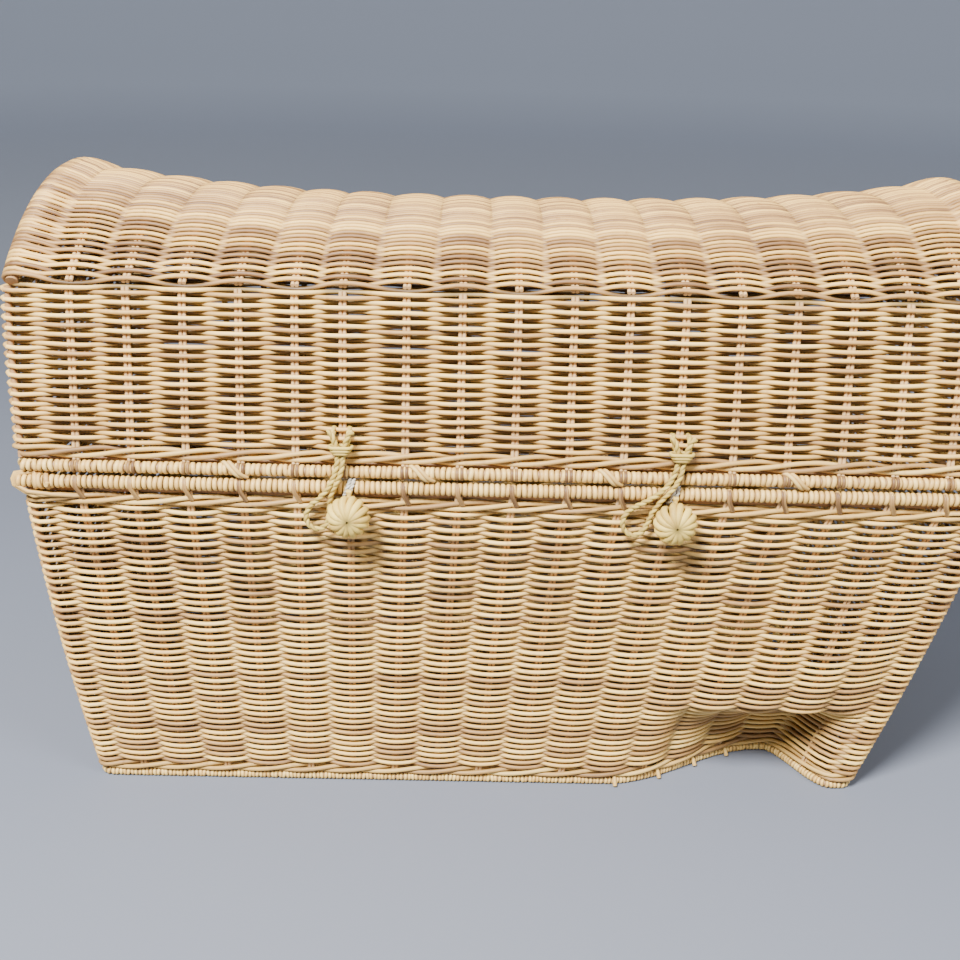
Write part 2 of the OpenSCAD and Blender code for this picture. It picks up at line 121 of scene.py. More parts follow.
hang_lamp("key_lamp", (-0.8, -1.75, 2.35), 0.8, 325)
hang_lamp("side_lamp", (1.5, -1.6, 2.1), 1.2, 57)
hang_lamp("top_lamp", (0.3, 0.2, 2.4), 1.2, 10)
sky = bpy.data.worlds.new("studio")
sky.use_nodes = True
sky.node_tree.nodes["Background"].inputs["Color"].default_value = (0.93, 0.95, 1, 1)
sky.node_tree.nodes["Background"].inputs["Strength"].default_value = 0.17
bpy.context.scene.world = sky

camera_data = bpy.data.cameras.new("camera")
camera_data.sensor_width = 36.0
camera_data.lens = 45.74
camera_data.clip_start = 0.01
camera = stand("camera", camera_data)
camera.matrix_world = (
    Matrix.Translation((-0.0128, -1.0762, 0.6499))
    @ Matrix.Rotation(math.radians(-0.552), 4, "Z")
    @ Matrix.Rotation(math.radians(90 - 21.167), 4, "X")
    @ Matrix.Rotation(math.radians(1.431), 4, "Z")
)
bpy.context.scene.camera = camera

# ---------------- body stakes
# Pairs of peeled cane rods that stand from the foot rim to the rim, with a thicker
# brown rod in each corner. They are pushed down into the foot and stay straight,
# but for the five that bend in with the dent.

RAMP_FROM, RAMP_TO = 0.05, 0.95  # where the darkest and the palest tone lie


def cane_finish(name, tones, grain=0.12, rough=(0.42, 0.62), laid=True, fleck=0.10):
    """Skin of peeled cane: a tone for each length of cane, fibre streaks, stains and, on laid cane,
    painted shade.

    tones run from the darkest length to the palest. Laid cane carries its own length
    and round in attributes; a plain rod takes its streaks from its upright grain.
    """
    finish = bpy.data.materials.new(name)
    finish.use_nodes = True
    skin = finish.node_tree.nodes["Principled BSDF"]
    put = node_maker(finish.node_tree)

    def carried(label):
        return put("ShaderNodeAttribute", attribute_name=label).outputs

    def noise(where, scale, detail, coarse=0.5):
        return put("ShaderNodeTexNoise", [("Vector", where), ("Scale", scale), ("Detail", detail),
                                          ("Roughness", coarse)]).outputs[0]

    def maths(what, a, b, c=0.5):
        return put("ShaderNodeMath", [(0, a), (1, b), (2, c)], operation=what).outputs[0]

    # multiplies a tint over a colour: for the real brown flecks, and for painted shade
    def stain_and_painted_shade(amount, under, over):
        return put("ShaderNodeMix", [(0, amount), (6, under), (7, over)],
                   data_type="RGBA", blend_type="MULTIPLY").outputs[2]

    spot = put("ShaderNodeTexCoord").outputs["Object"]
    if laid:
        tone, fibre = carried("tone")["Fac"], carried("fibre")["Vector"]
    else:
        tone = noise(spot, 17.0, 1.0)
        fibre = put("ShaderNodeMapping", [
            ("Vector", spot), ("Scale", (900.0, 900.0, 22.0))]).outputs[0]
    streak = noise(fibre, 1.0, 5.0, 0.65)
    patch = noise(spot, 11.0, 4.0, 0.6)
    # tone, patch and streak are added up round the middle of the ramp
    tone = maths("MULTIPLY_ADD", maths("SUBTRACT", patch, 0.5), 0.55, tone)
    tone = maths("MULTIPLY_ADD", maths("SUBTRACT", streak, 0.5), grain * 4, tone)
    ramp = put("ShaderNodeValToRGB", [("Fac", tone)])
    ramp.color_ramp.interpolation = "EASE"
    stops = [ramp.color_ramp.elements[0], ramp.color_ramp.elements[1]]
    stops[0].position, stops[1].position = RAMP_FROM, RAMP_TO
    stops[0].color, stops[1].color = (*tones[0], 1), (*tones[-1], 1)
    for i, colour in enumerate(tones[1:-1], 1):
        between = RAMP_FROM + (RAMP_TO - RAMP_FROM) * i / (len(tones) - 1)
        ramp.color_ramp.elements.new(between).color = (*colour, 1)
    # brown flecks where the skin was scraped or stained
    flecks = put("ShaderNodeMapRange", [("Value", noise(spot, 140.0, 2.0)), ("From Min", 0.62),
                                        ("From Max", 0.75), ("To Max", fleck * 4)])
    colour = stain_and_painted_shade(flecks.outputs[0], ramp.outputs["Color"], (0.50, 0.36, 0.25, 1))
    if laid:
        # painted shade, a slightly blue darkening, where a cane turns in between its neighbours and
        # in the grooves between turns; the inside attribute says how much
        colour = stain_and_painted_shade(carried("inside")["Fac"], colour, (0.26, 0.265, 0.29, 1))
    gloss = put("ShaderNodeMapRange", [("Value", streak), ("From Min", 0.3), ("From Max", 0.7),
                                       ("To Min", rough[0]), ("To Max", rough[1])])
    relief = put("ShaderNodeBump", [("Strength", 0.35), ("Distance", 0.0003), ("Height", streak)])
    for socket, value in (("Base Color", colour), ("Roughness", gloss.outputs[0]),
                          ("Normal", relief.outputs[0])):
        finish.node_tree.links.new(value, skin.inputs[socket])
    skin.inputs["Specular IOR Level"].default_value = 0.38
    return finish


STAKE_TONES = [(0.34, 0.20, 0.085), (0.54, 0.345, 0.155), (0.70, 0.48, 0.235)]
CORE_TONES = [(0.24, 0.13, 0.05), (0.36, 0.20, 0.085), (0.46, 0.27, 0.12)]
stake_finish = cane_finish("peeled stake cane", STAKE_TONES, laid=False)
core_finish = cane_finish("brown core cane", CORE_TONES, laid=False)


def refinish(finish, *nodes):
    """Shapes that are right as they stand only get their finish."""
    for node in nodes:
        for place in bpy.data.objects[node].material_slots:
            place.material = finish


refinish(stake_finish, "body_front_stakes", "body_bent_stakes", "body_back_stakes")

# ---------------- woven floor
# A flat mat of round cane woven to and fro over pairs of floor stakes, which
# lie from front to back. The dent has pushed its front edge in.

MM = 0.001
# half the length and half the depth at the foot and at the rim's middle, in millimetres
HALF_BASE, HALF_RIM = 334.0, 380.0
DEEP_BASE, DEEP_RIM = 148.0, 194.0
# RACK is how far the rim has shifted sideways over the foot
BODY_H, RACK, CORNER = 300.0, 22.0, 9.0
# places are counted in stakes, from the front left corner
STAKES_LONG, STAKES_SHORT = 18, 9
MID_LONG, MID_SHORT = STAKES_LONG / 2, STAKES_SHORT / 2
CORNERS = (0, STAKES_LONG, STAKES_LONG + STAKES_SHORT, 2 * STAKES_LONG + STAKES_SHORT)
ROUND = 2 * (STAKES_LONG + STAKES_SHORT)
DENT_DEEP, DENT_FROM, DENT_PEAK, DENT_TO = 60.0, 112.0, 268.0, 318.0
FOLD_H, SWELL, SWELL_FROM, SWELL_TO, END_BELLY = 92.0, 12.0, 55.0, 215.0, 5.0


def ease(t):
    return (1 - np.cos(np.pi * np.clip(t, 0, 1))) / 2


def dent(along, z):
    """How far the front is pushed in; below zero where it swells out over the fold."""
    across = np.where(
        along < DENT_PEAK,
        ease((along - DENT_FROM) / (DENT_PEAK - DENT_FROM)),
        ease((DENT_TO - along) / (DENT_TO - DENT_PEAK)),
    )
    push = np.where(z < FOLD_H, DENT_DEEP * (1 - (z / FOLD_H) ** 4), 0)
    swell = SWELL * np.sin(np.pi * (z - SWELL_FROM) / (SWELL_TO - SWELL_FROM)) ** 2
    swell = np.where((z < SWELL_FROM) | (z > SWELL_TO), 0, swell)
    return across * (push - swell)


def oblong(u, half_l, half_d):
    """x and y of a round-cornered oblong; u counts stakes from its front left corner."""
    u = np.mod(u, ROUND)
    _, front_right, back_right, back_left = CORNERS
    on_front, on_right = u < front_right, (u >= front_right) & (u < back_right)
    on_back = (u >= back_right) & (u < back_left)
    c = np.select(
        [on_front, on_right, on_back],
        [(-1 + u / MID_LONG) * half_l, (-1 + (u - front_right) / MID_SHORT) * half_d,
         (1 - (u - back_right) / MID_LONG) * half_l],
        (1 - (u - back_left) / MID_SHORT) * half_d,
    )
    h = np.where(on_front | on_back, half_l, half_d)
    turn = np.clip((np.abs(c) - (h - CORNER)) / CORNER, 0, 1) * np.pi / 4
    along = np.where(np.abs(c) > h - CORNER, np.sign(c) * (h - CORNER + CORNER * np.sin(turn)), c)
    inset = CORNER * (1 - np.cos(turn))
    x = np.select([on_front | on_back, on_right], [along, half_l - inset], -half_l + inset)
    y = np.select([on_front, on_back], [-half_d + inset, half_d - inset], along)
    return x, y, on_front


def near_ends(x, half_l):
    """0 along the middle of a side, rising to 1 at its ends."""
    return np.clip((np.abs(x) - half_l + 60) / 60, 0, 1) ** 2


def body_wall(u, z):
    half_l = HALF_BASE + (HALF_RIM - HALF_BASE) * z / BODY_H
    half_d = DEEP_BASE + (DEEP_RIM - DEEP_BASE) * z / BODY_H
    x, y, on_front = oblong(u, half_l, half_d)
    along = np.clip(x / (half_l - HALF_BASE + DENT_TO), -1, 1) * DENT_TO
    y = y + np.where(on_front, dent(along, z), 0)
    # the woven ends belly out a little between foot and rim
    belly = np.sin(np.pi * np.clip(z / BODY_H, 0, 1)) ** 0.8
    x = x + np.sign(x) * END_BELLY * near_ends(x, half_l) * belly
    return np.stack([RACK * z / BODY_H + x, y, z + 0 * x], -1)


def facing(surface, u, v, step_u=0.02, step_v=0.5):
    """Outward and upward directions of a surface at the places u, v."""
    along = surface(u + step_u, v) - surface(u - step_u, v)
    up = surface(u, v + step_v) - surface(u, v - step_v)
    out = np.cross(along, up)
    out /= np.linalg.norm(out, axis=-1, keepdims=True)
    return out, up / np.linalg.norm(up, axis=-1, keepdims=True)


def strand(points, out=(0, 0, 0), up=(0, 0, 0), lift=0.0, tone=0.5, girth=1.0, ring=False):
    """One length of cane: its middle line in millimetres and how it is laid."""
    points = np.asarray(points, float)
    n = len(points)
    laid = {"points": points, "ring": ring}
    for label, value in (("out", out), ("up", up)):
        laid[label] = np.broadcast_to(np.asarray(value, float), (n, 3))
    for label, value in (("lift", lift), ("tone", tone), ("girth", girth)):
        laid[label] = np.broadcast_to(np.asarray(value, float), (n,))
    return laid


def new_tree(name, inputs):
    """A tree of geometry nodes with named inputs, and short ways to put nodes in it."""
    tree = bpy.data.node_groups.new(name, "GeometryNodeTree")
    tree.interface.new_socket("Geometry", in_out="INPUT", socket_type="NodeSocketGeometry")
    for label, kind, value in inputs:
        socket = tree.interface.new_socket(label, in_out="INPUT", socket_type="NodeSocket" + kind)
        if value is not None:
            socket.default_value = value
    tree.interface.new_socket("Geometry", in_out="OUTPUT", socket_type="NodeSocketGeometry")
    given = tree.nodes.new("NodeGroupInput").outputs
    result = tree.nodes.new("NodeGroupOutput")
    put = node_maker(tree)

    def maths(what, a, b, c=0.0):
        return put("ShaderNodeMath", [(0, a), (1, b), (2, c)], operation=what).outputs[0]

    def store(shape, label, value, kind="FLOAT", domain="POINT"):
        return put("GeometryNodeStoreNamedAttribute", [
            ("Geometry", shape), ("Name", label), ("Value", value),
        ], data_type=kind, domain=domain).outputs[0]

    def end(shape):
        real = put("GeometryNodeRealizeInstances", [("Geometry", shape)])
        painted = put("GeometryNodeSetMaterial", [
            ("Geometry", real.outputs[0]), ("Material", given["Material"])])
        tree.links.new(painted.outputs[0], result.inputs[0])

    return tree, given, put, maths, store, end


def cane_tree():
    """Lays round cane along lines: over and under, a little uneven, with its own fibre."""
    tree, given, put, maths, store, end = new_tree("Cane laid along lines", [
        ("Cane Radius", "Float", 0.0018), ("Weave Depth", "Float", 0.0033),
        ("Bow", "Float", 0.0), ("Unevenness", "Float", 0.0003), ("Sides", "Int", 7),
        ("Seed", "Float", 3.0), ("Material", "Material", None),
    ])

    def carried(label, kind="FLOAT"):
        return put("GeometryNodeInputNamedAttribute", [("Name", label)], data_type=kind).outputs[0]

    def vectors(what, *given_to):
        return put("ShaderNodeVectorMath", given_to, operation=what).outputs[0]

    # the line wanders a little, moves out and in through the wall, and bows up and down
    lift = carried("lift")
    spot = put("GeometryNodeInputPosition").outputs[0]
    noise = put("ShaderNodeTexNoise", [
        ("Vector", vectors("MULTIPLY", (0, spot), (1, (22.0, 22.0, 95.0)))),
        ("W", given["Seed"]), ("Scale", 1.0), ("Detail", 2.0),
    ], noise_dimensions="4D").outputs[0]
    sway = maths("MULTIPLY", maths("SUBTRACT", noise, 0.5), 4.0)
    depth = maths("MULTIPLY", lift, given["Weave Depth"])
    wander = maths("MULTIPLY_ADD", sway, given["Unevenness"], maths("MULTIPLY", lift, given["Bow"]))
    outward = vectors("SCALE", (0, carried("out", "FLOAT_VECTOR")), ("Scale", depth))
    upward = vectors("SCALE", (0, carried("up", "FLOAT_VECTOR")), ("Scale", wander))
    moved = put("GeometryNodeSetPosition", [
        ("Geometry", given["Geometry"]), ("Offset", vectors("ADD", (0, outward), (1, upward))),
    ]).outputs[0]
    lines = put("GeometryNodeMeshToCurve", [("Mesh", moved)]).outputs[0]
    girth = maths("MULTIPLY_ADD", maths("SUBTRACT", noise, 0.5), 0.22, carried("girth"))
    lines = put("GeometryNodeSetCurveRadius", [("Curve", lines), ("Radius", girth)]).outputs[0]
    lines = store(lines, "run", put("GeometryNodeSplineParameter").outputs["Length"])
    ring = put("GeometryNodeCurvePrimitiveCircle", [
        ("Resolution", given["Sides"]), ("Radius", given["Cane Radius"]),
    ]).outputs[0]
    round_it = vectors("NORMALIZE", (0, put("GeometryNodeInputPosition").outputs[0]))
    ring = store(ring, "round", round_it, "FLOAT_VECTOR")
    skin = put("GeometryNodeCurveToMesh", [
        ("Curve", lines), ("Profile Curve", ring), ("Fill Caps", True),
    ]).outputs[0]
    # the fibre's own space: round the cane, and along it, apart for each tone
    parts = vectors("SCALE", (0, carried("round", "FLOAT_VECTOR")), ("Scale", 4.5))
    parts = put("ShaderNodeSeparateXYZ", [(0, parts)]).outputs
    shifted = maths("MULTIPLY", carried("tone"), 90.0)
    fibre = put("ShaderNodeCombineXYZ", [
        ("X", parts[0]), ("Y", parts[1]),
        ("Z", maths("MULTIPLY_ADD", carried("run"), 14.0, shifted)),
    ]).outputs[0]
    skin = store(skin, "fibre", fibre, "FLOAT_VECTOR")
    # painted shade: the further a cane turns in behind the stakes, the darker it is painted
    painted_shade = put("ShaderNodeMapRange", [
        ("Value", lift), ("From Min", 0.35), ("From Max", -0.75),
    ]).outputs[0]
    skin = store(skin, "inside", painted_shade)
    skin = put("GeometryNodeSetShadeSmooth", [("Geometry", skin)]).outputs[0]
    end(skin)
    return tree


CANE_TREE = cane_tree()


def run_tree(name, lines, tree, settings):
    """Runs a tree on a mesh of lines once, and keeps the result as a plain mesh."""
    rough = stand(name + "_lines", lines)
    work = rough.modifiers.new("work", "NODES")
    work.node_group = tree
    for socket in tree.interface.items_tree:
        if socket.in_out == "INPUT" and socket.name in settings:
            work[socket.identifier] = settings[socket.name]
    seen = rough.evaluated_get(bpy.context.evaluated_depsgraph_get())
    made = bpy.data.meshes.new_from_object(seen)
    bpy.data.objects.remove(rough)
    bpy.data.meshes.remove(lines)
    made.name = name
    for spare in ("out", "up", "lift", "girth", "run", "round"):
        if spare in made.attributes:
            made.attributes.remove(made.attributes[spare])
    return stand(name, made)


def lines_mesh(name, strands):
    """The strands' middle lines as a mesh of edges, in metres, with their attributes."""
    mesh = bpy.data.meshes.new(name + "_lines")
    points = np.concatenate([s["points"] for s in strands]) * MM
    edges, first = [], 0
    for s in strands:
        n = len(s["points"])
        edges += [(first + i, first + i + 1) for i in range(n - 1)]
        if s["ring"]:
            edges.append((first + n - 1, first))
        first += n
    mesh.from_pydata(points.tolist(), edges, [])
    for label in ("lift", "tone", "girth"):
        values = np.concatenate([s[label] for s in strands]).astype(np.float32)
        mesh.attributes.new(label, "FLOAT", "POINT").data.foreach_set("value", values)
    for label in ("out", "up"):
        values = np.concatenate([s[label] for s in strands]).astype(np.float32).ravel()
        mesh.attributes.new(label, "FLOAT_VECTOR", "POINT").data.foreach_set("vector", values)
    return mesh


def settle(piece, body, replaced=()):
    """Says what a piece rides on, and hides the shapes that it stands for."""
    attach(piece, body)
    if replaced:
        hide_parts(*replaced)


def lay_cane(name, strands, finish, diameter, depth=0.0, bow=0.0, uneven=0.3, sides=7,
             seed=3.0):
    """A piece of laid cane; every measure is in millimetres."""
    return run_tree(name, lines_mesh(name, strands), CANE_TREE, {
        "Cane Radius": diameter / 2 * MM, "Weave Depth": depth * MM, "Bow": bow * MM,
        "Unevenness": uneven * MM, "Sides": sides, "Seed": seed, "Material": finish,
    })


WOVEN_TONES = [(0.19, 0.095, 0.035), (0.40, 0.22, 0.072), (0.63, 0.375, 0.105),
               (0.77, 0.475, 0.135), (0.87, 0.58, 0.18)]
woven_finish = cane_finish("woven round cane", WOVEN_TONES)

FLOOR_MID, FLOOR_ROW, FLOOR_CANE, FLOOR_EDGE = 3.5, 3.7, 3.0, 6.0
floor_draws = random.Random(11)
mat_strands = []
for row in range(int(2 * (DEEP_BASE - FLOOR_EDGE) / FLOOR_ROW) + 1):
    y = -DEEP_BASE + FLOOR_EDGE + row * FLOOR_ROW
    x = np.linspace(-HALF_BASE + 8, HALF_BASE - 8, 4 * STAKES_LONG + 1)
    tone = floor_draws.uniform(0.25, 0.8)
    # a row that meets the dent is cut there
    inside = y > -DEEP_BASE + 5.5 + dent(x, np.zeros_like(x))
    cuts = np.flatnonzero(np.diff(inside.astype(int))) + 1
    for whole in np.split(np.arange(len(x)), cuts):
        if inside[whole[0]] and len(whole) > 3:
            xs = x[whole]
            mat_strands.append(strand(
                np.stack([xs, y + 0 * xs, FLOOR_MID + 0 * xs], -1), out=(0, 0, 1), up=(0, 1, 0),
                lift=np.cos(np.pi * (xs / HALF_BASE + 1) * MID_LONG) * (-1) ** row, tone=tone,
            ))
for k in range(1, STAKES_LONG):
    x = (-1 + k / MID_LONG) * HALF_BASE
    front = -DEEP_BASE + 5 + float(dent(np.array(x), np.array(0.0)))
    for aside in (-1.3, 1.3):
        mat_strands.append(strand([(x + aside, front, FLOOR_MID),
                                   (x + aside, DEEP_BASE - 5, FLOOR_MID)], tone=0.3, girth=0.75))
woven_floor = lay_cane("woven_floor", mat_strands, woven_finish, FLOOR_CANE, depth=1.7,
                       uneven=0.15, sides=6)
settle(woven_floor, "trunk", ["floor_weave"])

# ---------------- foot rim
# A thin rod that runs round the foot, wound close with split cane. The dent has
# bent it in at the right of the front.


def wrap_tree():
    """Winds turns of flattened cane along lines, each a little out of true."""
    tree, given, put, maths, store, end = new_tree("Close turns along a rod", [
        ("Turn Pitch", "Float", 0.0037), ("Outside Radius", "Float", 0.0055),
        ("Thickness", "Float", 0.0024), ("Width", "Float", 0.0037),
        ("Lean", "Float", 0.1), ("Unevenness", "Float", 0.035), ("Tone", "Float", 0.7),
        ("Turn Sides", "Int", 14), ("Cane Sides", "Int", 8), ("Seed", "Int", 5),
        ("Material", "Material", None),
    ])

    def draw(low, high, seed):
        node = put("FunctionNodeRandomValue", [
            (2, low), (3, high), ("Seed", maths("ADD", given["Seed"], float(seed))),
        ], data_type="FLOAT")
        return node.outputs[1]

    line = put("GeometryNodeMeshToCurve", [("Mesh", given["Geometry"])]).outputs[0]
    points = put("GeometryNodeCurveToPoints", [
        ("Curve", line), ("Length", given["Turn Pitch"])], mode="LENGTH")
    # one turn: a ring of round cane, flattened across the rod, with painted shade at its sides
    # where it meets the next turn
    half = maths("MULTIPLY", given["Thickness"], 0.5)
    turn = put("GeometryNodeCurvePrimitiveCircle", [
        ("Resolution", given["Turn Sides"]),
        ("Radius", maths("SUBTRACT", given["Outside Radius"], half)),
    ]).outputs[0]
    section = put("GeometryNodeCurvePrimitiveCircle", [
        ("Resolution", given["Cane Sides"]), ("Radius", half)]).outputs[0]
    band = put("GeometryNodeCurveToMesh", [("Curve", turn), ("Profile Curve", section)]).outputs[0]
    place = put("GeometryNodeInputPosition").outputs[0]
    aside = maths("ABSOLUTE", put("ShaderNodeSeparateXYZ", [(0, place)]).outputs[2], 0.0)
    # painted shade in the grooves between turns, darkest at a turn's edges
    painted_groove_shade = put("ShaderNodeMapRange", [
        ("Value", maths("DIVIDE", aside, half)), ("From Min", 0.6), ("To Max", 0.9),
    ]).outputs[0]
    band = store(band, "inside", painted_groove_shade)
    flat = put("ShaderNodeCombineXYZ", [
        ("X", 1.0), ("Y", 1.0), ("Z", maths("DIVIDE", given["Width"], given["Thickness"]))])
    band = put("GeometryNodeTransform", [("Geometry", band), ("Scale", flat.outputs[0])]).outputs[0]
    band = put("GeometryNodeSetShadeSmooth", [("Geometry", band)]).outputs[0]
    # each turn leans, tips and is sized a little differently, and has its own tone
    out = maths("MULTIPLY", given["Unevenness"], -1.0)
    lean = put("ShaderNodeCombineXYZ", [
        ("X", maths("ADD", given["Lean"], draw(out, given["Unevenness"], 1))),
        ("Y", draw(out, given["Unevenness"], 2)), ("Z", draw(0.0, 6.28, 3)),
    ]).outputs[0]
    turned = put("FunctionNodeRotateRotation", [(0, points.outputs["Rotation"]), (1, lean)],
                 rotation_space="LOCAL").outputs[0]
    placed = put("GeometryNodeInstanceOnPoints", [
        ("Points", points.outputs[0]), ("Instance", band), ("Rotation", turned),
        ("Scale", draw(0.965, 1.035, 4)),
    ]).outputs[0]
    tone = maths("ADD", given["Tone"], draw(-0.22, 0.22, 5))
    placed = store(placed, "tone", tone, domain="INSTANCE")
    real = put("GeometryNodeRealizeInstances", [("Geometry", placed)]).outputs[0]
    fibre = put("ShaderNodeVectorMath", [
        (0, put("GeometryNodeInputPosition").outputs[0]), (1, (900.0, 900.0, 900.0)),
    ], operation="MULTIPLY").outputs[0]
    end(store(real, "fibre", fibre, "FLOAT_VECTOR"))
    return tree


WRAP_TREE = wrap_tree()


def wind(name, strands, finish, across, thick, lean, tone, seed, pitch=4.2, uneven=0.035, sides=14):
    """A piece of close turns, across wide over all; every measure is in millimetres."""
    return run_tree(name, lines_mesh(name, strands), WRAP_TREE, {
        "Turn Pitch": pitch * MM, "Outside Radius": across / 2 * MM, "Thickness": thick * MM,
        "Width": pitch * 0.98 * MM, "Lean": lean, "Unevenness": uneven, "Tone": tone,
        "Turn Sides": sides, "Seed": seed, "Material": finish,
    })


BOUND_TONES = [(0.26, 0.13, 0.035), (0.48, 0.27, 0.078), (0.68, 0.41, 0.112),
               (0.80, 0.505, 0.145), (0.88, 0.60, 0.19)]
bound_finish = cane_finish("split binding cane", BOUND_TONES, rough=(0.36, 0.55))

FOOT_Z, FOOT_D = 4.0, 8.0
around = np.linspace(0, ROUND, 8 * ROUND + 1)[:-1]
foot_line = body_wall(around, np.full_like(around, FOOT_Z))
foot_line[:, 2] = FOOT_Z
foot_rod = lay_cane("foot_rod", [strand(foot_line, tone=0.2, ring=True)], core_finish,
                    FOOT_D - 2.6, uneven=0, sides=10)
settle(foot_rod, "trunk")
foot_turns = wind("foot_turns", [strand(foot_line, ring=True)], bound_finish, FOOT_D, thick=2.8,
                  lean=0.16, tone=0.75, seed=21, pitch=3.4, uneven=0.06, sides=10)
settle(foot_turns, "trunk", ["foot_rim"])

# where the foot is bent in, the trimmed tips of the stakes stick out over it
tabs = []
for stake in (12.3, 13.35, 14.3, 15.2):
    spot, past = body_wall(np.array([stake, stake + 0.02]), np.full(2, FOOT_Z))
    out = np.array([past[1] - spot[1], spot[0] - past[0], 0]) / np.linalg.norm(past - spot)
    tabs.append(strand([spot + out * proud + (0, 0, high)
                        for proud, high in ((2.0, 5.0), (4.6, 3.0), (7.4, -2.0))], tone=0.8))
foot_tabs = lay_cane("foot_tabs", tabs, woven_finish, 3.8, uneven=0.1, sides=8)
settle(foot_tabs, "trunk")

# ---------------- twined bands
# Three canes twined round the stakes over the foot, under the rim and over the lid's
# rim. Each passes outside two stakes and inside one, so that the band looks like rope.

TWINED_CANE = 3.9


def twine(name, body, node, surface, z, out_by, up_by, tones, start, uneven, seed):
    """Three canes wound round each other, with one turn to every three stakes."""
    height = np.full_like(around, z)
    mid = surface(around, height)
    out, up = facing(surface, around, height)
    canes = []
    for j, tone in enumerate(tones):
        lay = 2 * np.pi * (around / 3 + j / 3 + start)
        offset = out * (out_by * np.cos(lay))[:, None] + up * (up_by * np.sin(lay))[:, None]
        # each cane goes a little darker and paler on its way round
        shade = tone + 0.18 * np.sin(2 * np.pi * around / ROUND * 3 + 2.1 * j)
        canes.append(strand(mid + offset, up=up, tone=shade, ring=True))
    band = lay_cane(name, canes, woven_finish, TWINED_CANE, uneven=uneven, sides=8, seed=seed)
    settle(band, body, [node])


twine("foot_twining", "trunk", "foot_waling", body_wall, 12.7, 3.4, 2.6, (0.35, 0.55, 0.75),
      start=0.0, uneven=0.3, seed=8)

# ---------------- body walls
# Single round canes woven over one pair of stakes and under the next, row on row,
# and turned round the corners. A new length begins inside, where it does not show.

WALL_CANE, WALL_ROW, WALL_DEPTH = 3.6, 3.33, 3.3
SIDES = ("front", "right", "back", "left")
STAKE_STEPS = 6  # points of a row to each stake


def over_under(u, row):
    """1 where a row passes outside a stake, and -1 where it passes inside the next."""
    wave = np.cos(np.pi * (u + row))
    return np.sign(wave) * np.abs(wave) ** 0.8


def rows_round(surface, z_low, z_high, pitch, seed, band_tones, beaten=0.0):
    """Every row of a woven wall, cut at the corners, and the tone of each length.

    beaten is how much closer than the middle the lowest rows were beaten down.
    """
    draws = random.Random(seed)
    count = int((z_high - z_low) / pitch) + 1
    sides = {side: [] for side in SIDES}
    tone = draws.uniform(*band_tones)
    for row in range(count):
        share = row / (count - 1)
        z = z_low + (z_high - z_low) * (share * (1 - beaten) + beaten * share**2)
        # one or two joins in a round, each at a stake that the row passes inside
        joins = sorted(draws.sample(range(ROUND // 2), draws.choice((1, 1, 2))))
        joins = [2 * j + (row + 1) % 2 for j in joins]
        for side, first, last in zip(SIDES, CORNERS, (*CORNERS[1:], ROUND)):
            stops = [first] + [j for j in joins if first < j < last] + [last]
            for a, b in zip(stops, stops[1:]):
                if a in joins:
                    tone = draws.uniform(*band_tones)
                u = np.linspace(a, b, (b - a) * STAKE_STEPS + 1)
                height = np.full_like(u, z)
                out, up = facing(surface, u, height)
                lift = over_under(u, row)
                sides[side].append(strand(surface(u, height), out, up, lift, tone))
    return sides


def weave_walls(lot, body, rows, bow, uneven, seed):
    """The four woven sides of the body or of the lid's band."""
    for side in SIDES:
        wall = lay_cane(lot + "_" + side, rows[side], woven_finish, WALL_CANE, depth=WALL_DEPTH,
                        bow=bow, uneven=uneven, sides=6, seed=seed)
        settle(wall, body, [lot + "_" + side + "_weave"])


body_rows = rows_round(body_wall, 19.3, 279.2, WALL_ROW, 31, (0.2, 0.95), beaten=0.1)
weave_walls("body", "trunk", body_rows, bow=-0.35, uneven=0.32, seed=3.0)

# ---------------- band under the rim
# The same three-cane twining closes the woven walls. Over it each stake is cut to a
# slanting tongue and tucked under the rim.

PAIR_HALF = 0.0366  # half the gap between the two canes of a pair, in stakes
STAKE_PAIRS = [k for k in range(1, ROUND) if k not in CORNERS]


def end_stakes(lot, body, surface, heights, top=None):
    """The stake pairs of both ends and the four corner stakes, which follow the wall."""
    z = np.array(heights, float)
    for side, first in (("right", CORNERS[1]), ("left", CORNERS[3])):
        pairs = []
        for k in range(1, STAKES_SHORT):
            for shift in (-PAIR_HALF, PAIR_HALF):
                line = surface(np.full_like(z, first + k + shift), z)
                if top:
                    line = np.concatenate([line, top(line[-1], k)])
                pairs.append(strand(line, tone=0.3 + 0.05 * (k % 3)))
        made = lay_cane(lot + "_" + side + "_end_stakes", pairs, woven_finish, 3.0, uneven=0.1,
                        sides=8)
        settle(made, body, [lot + "_" + side + "_stakes"])
    posts = [strand(surface(np.full_like(z, u), z), tone=0.3) for u in CORNERS]
    made = lay_cane(lot + "_corner_posts", posts, core_finish, 5.0, uneven=0, sides=10)
    settle(made, body, [lot + "_corner_stakes"])


def run_inside(name, body, surface, z):
    """A plain rod that runs round inside, behind the gap between a band and its rim."""
    height = np.full_like(around, z)
    out, _ = facing(surface, around, height)
    line = strand(surface(around, height) - 5.5 * out, tone=0.1, ring=True)
    settle(lay_cane(name, [line], core_finish, 6.0, uneven=0, sides=8), body)


end_stakes("body", "trunk", body_wall, (8.2, 50, 100, 150, 200, 250, 294.2))
twine("rim_twining", "trunk", "body_waling", body_wall, 285.4, 3.6, 2.6, (0.7, 0.45, 0.6),
      start=0.2, uneven=0.35, seed=14)
run_inside("inside_rod", "trunk", body_wall, 291.5)

